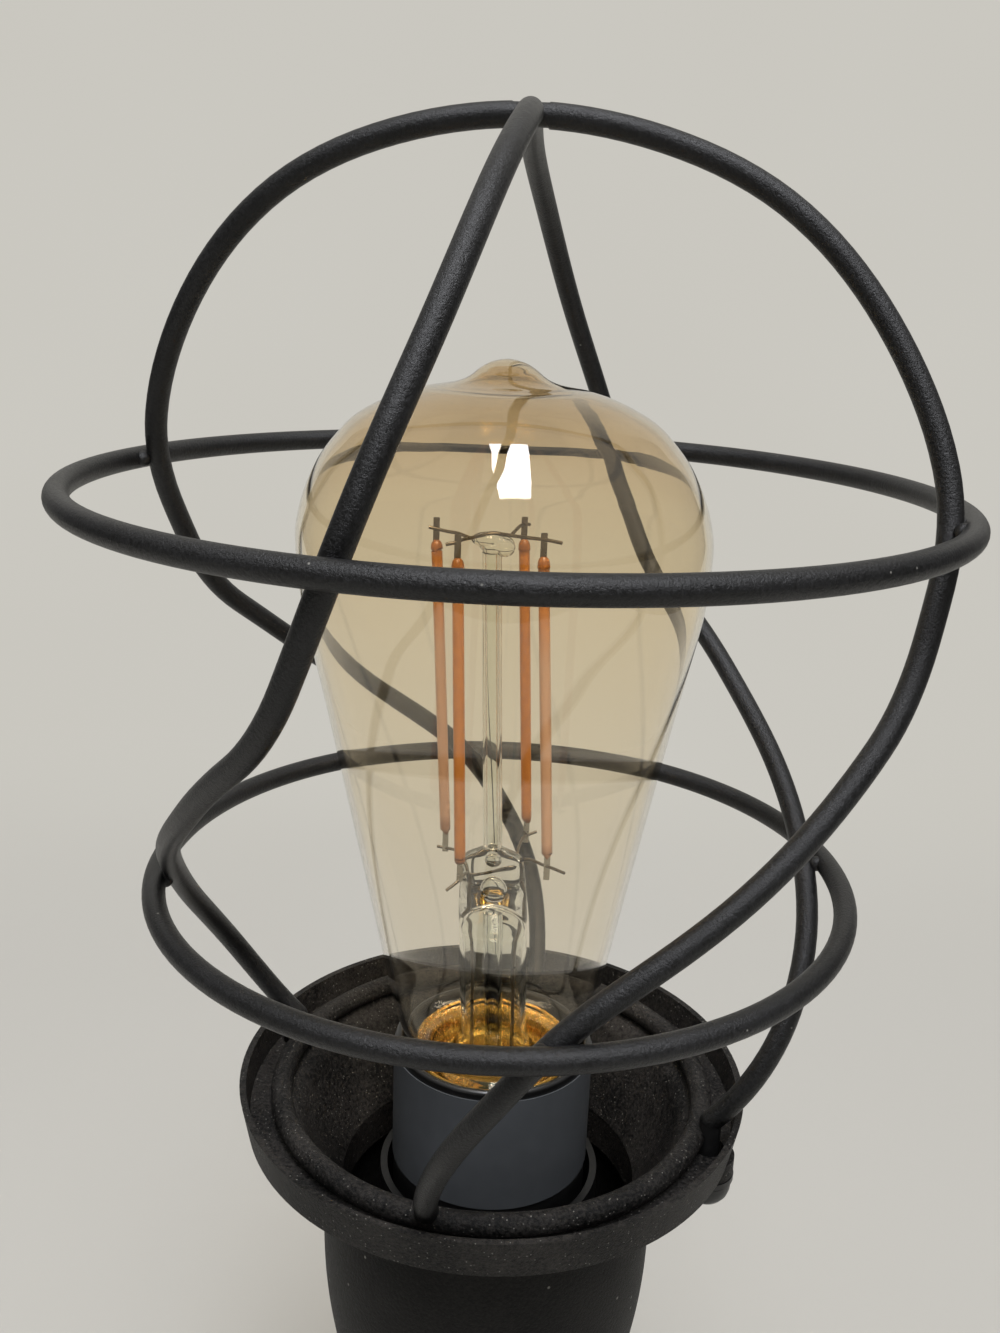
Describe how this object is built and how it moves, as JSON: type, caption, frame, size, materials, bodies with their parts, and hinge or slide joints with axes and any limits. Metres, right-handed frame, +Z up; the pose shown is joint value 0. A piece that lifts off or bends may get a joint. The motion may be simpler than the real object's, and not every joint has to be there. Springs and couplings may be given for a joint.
{
  "type": "cage table lamp",
  "caption": "Table lamp with a twisted wire cage round an amber filament-style lamp, in a dished gallery on a turned black metal base.",
  "frame": {"origin": "middle of the felt pad's underside, where the foot rests on the table", "axes": "+Z up along the lamp's axis, -Y towards the front (the side that the picture sees), +X to the right"},
  "size_m": [0.1356, 0.1356, 0.3504],
  "materials": {
    "black_powder_coat": "fine matt textured powder coat, near black",
    "black_wire_coat": "matt powder coat on wire, near black",
    "black_fastener": "satin black coated steel",
    "felt": "black felt",
    "black_plastic": "matt black moulding",
    "cast_iron": "bare cast iron",
    "zinc_steel": "zinc plated steel",
    "socket_black": "satin black enamel",
    "label_grey": "bare dark grey sleeve",
    "ceramic_white": "glazed white porcelain",
    "brass": "pressed brass",
    "cap_brass": "bright lacquered brass",
    "board_green": "fibreglass board",
    "amber_glass": "amber tinted clear glass",
    "black_glass": "gloss black insulator",
    "tin_contact": "soft solder",
    "clear_glass": "clear glass",
    "filament_phosphor": "orange phosphor coat",
    "nickel_wire": "nickel steel wire"
  },
  "bodies": {
    "base": {"pad": "felt", "foot": "black_powder_coat", "cord_inlet": "black_plastic", "weight": "cast_iron", "foot_nut": "zinc_steel", "foot_washer": "zinc_steel", "lower_collar": "black_powder_coat", "stem": "black_powder_coat", "upper_collar": "black_powder_coat", "threaded_rod": "zinc_steel", "body": "black_powder_coat", "body_washer": "zinc_steel", "body_nut": "zinc_steel", "spacer": "zinc_steel", "gallery": "black_powder_coat", "cup": "socket_black", "socket_shell": "socket_black", "label_sleeve": "label_grey", "socket_insulator": "ceramic_white", "screw_shell": "brass", "centre_contact": "brass", "contact_rivet": "brass", "nut_washer_right": "black_fastener", "nut_washer_left": "black_fastener"},
    "cage": {"hoop": "black_wire_coat", "side_rods": "black_wire_coat", "studs": "black_fastener", "upper_ring": "black_wire_coat", "lower_ring": "black_wire_coat", "bottom_ring": "black_wire_coat", "ring_welds": "black_wire_coat"},
    "lamp_board": {"driver_board": "board_green"},
    "lamp": {"glass": "amber_glass", "cap": "cap_brass", "cap_insulator": "black_glass", "tip_contact": "tin_contact", "glass_stem": "clear_glass", "press": "clear_glass", "exhaust_tube": "clear_glass", "bead": "clear_glass", "filaments": "filament_phosphor", "filament_tabs": "nickel_wire", "top_supports": "nickel_wire", "bottom_supports": "nickel_wire", "lead_wires": "nickel_wire"},
    "nut_right": {"nut_right": "black_fastener"},
    "nut_left": {"nut_left": "black_fastener"}
  },
  "joints": [
    {"name": "cage_lift", "type": "slide", "parent": "base", "child": "cage", "axis": [0, 0, 1], "range_m": [0, 0.13]},
    {"name": "lamp_rise", "type": "slide", "parent": "base", "child": "lamp_board", "axis": [0, 0, 1], "range_m": [0, 0.01997]},
    {"name": "lamp_turn", "type": "hinge", "parent": "lamp_board", "child": "lamp", "pos_m": [0, 0, 0.19], "axis": [0, 0, 1], "range_deg": [0, 1980]},
    {"name": "nut_right_turn", "type": "hinge", "parent": "base", "child": "nut_right", "pos_m": [0.03618, -0.01317, 0.183], "axis": [0, 0, -1], "range_deg": [0, 1080]},
    {"name": "nut_left_turn", "type": "hinge", "parent": "base", "child": "nut_left", "pos_m": [-0.03618, 0.01317, 0.183], "axis": [0, 0, -1], "range_deg": [0, 1080]}
  ],
  "couplings": [
    {"joint": "lamp_rise", "follows": "lamp_turn", "m_per_rad": 0.00057773}
  ]
}
